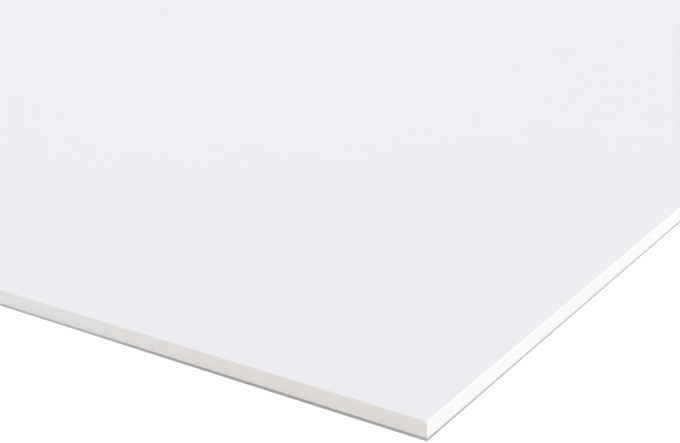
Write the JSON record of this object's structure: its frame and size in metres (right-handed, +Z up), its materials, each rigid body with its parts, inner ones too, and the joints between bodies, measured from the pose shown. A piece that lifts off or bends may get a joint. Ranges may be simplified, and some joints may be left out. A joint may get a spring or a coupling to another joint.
{
  "type": "pvc foam board",
  "caption": "Flat rectangular sheet of rigid white foamed PVC, with smooth satin faces and eased, cut edges.",
  "frame": {"origin": "centre of the underside, on the surface that the sheet lies on", "axes": "+X along the sheet's length, +Y along its width, +Z up through its thickness"},
  "size_m": [2.44, 1.22, 0.01],
  "materials": {
    "white_foamed_pvc": "satin"
  },
  "bodies": {
    "root": {"foam_board": "white_foamed_pvc"}
  },
  "joints": []
}
